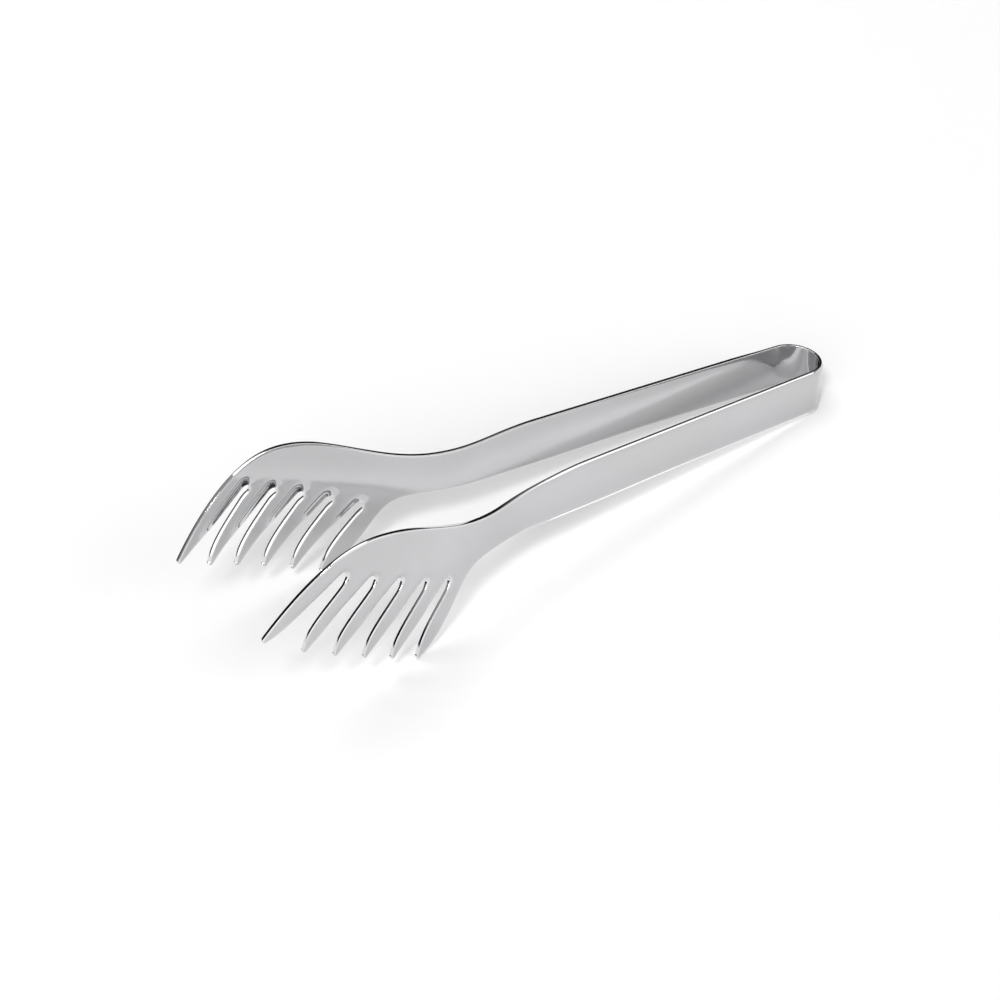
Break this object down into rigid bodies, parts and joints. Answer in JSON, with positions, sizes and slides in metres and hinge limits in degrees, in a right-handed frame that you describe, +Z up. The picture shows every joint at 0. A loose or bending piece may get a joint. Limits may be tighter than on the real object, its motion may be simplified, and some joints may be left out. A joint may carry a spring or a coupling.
{
  "type": "serving tongs",
  "caption": "One-piece sprung steel serving tongs: two long arms joined by a bow, each ending in a dished fork head with tines and slots.",
  "frame": {"origin": "centre of the bounding box in X and Y, on the table plane that the tongs rest on", "axes": "+X towards the bow (handle end), the heads at -X; +Y towards the rear arm, across the mirror plane; +Z up, in the resting pose"},
  "size_m": [0.222, 0.0534, 0.0531],
  "materials": {
    "polished_steel": "mirror-polished stainless steel sheet"
  },
  "bodies": {
    "bow": {"spring_bow": "polished_steel"},
    "front_side": {"front_arm": "polished_steel", "front_fork_head": "polished_steel"},
    "rear_side": {"rear_arm": "polished_steel", "rear_fork_head": "polished_steel"}
  },
  "joints": [
    {"name": "front_arm_flex", "type": "hinge", "parent": "bow", "child": "front_side", "pos_m": [0.09814, -0.00891, 0.0091], "axis": [-0.1404, 0, -0.9901], "range_deg": [0, 5.7], "stiffness_Nm_per_rad": 8},
    {"name": "rear_arm_flex", "type": "hinge", "parent": "bow", "child": "rear_side", "pos_m": [0.09814, 0.00891, 0.0091], "axis": [0.1404, 0, 0.9901], "range_deg": [0, 5.7], "stiffness_Nm_per_rad": 8}
  ],
  "couplings": [
    {"joint": "rear_arm_flex", "follows": "front_arm_flex", "ratio": 1}
  ]
}
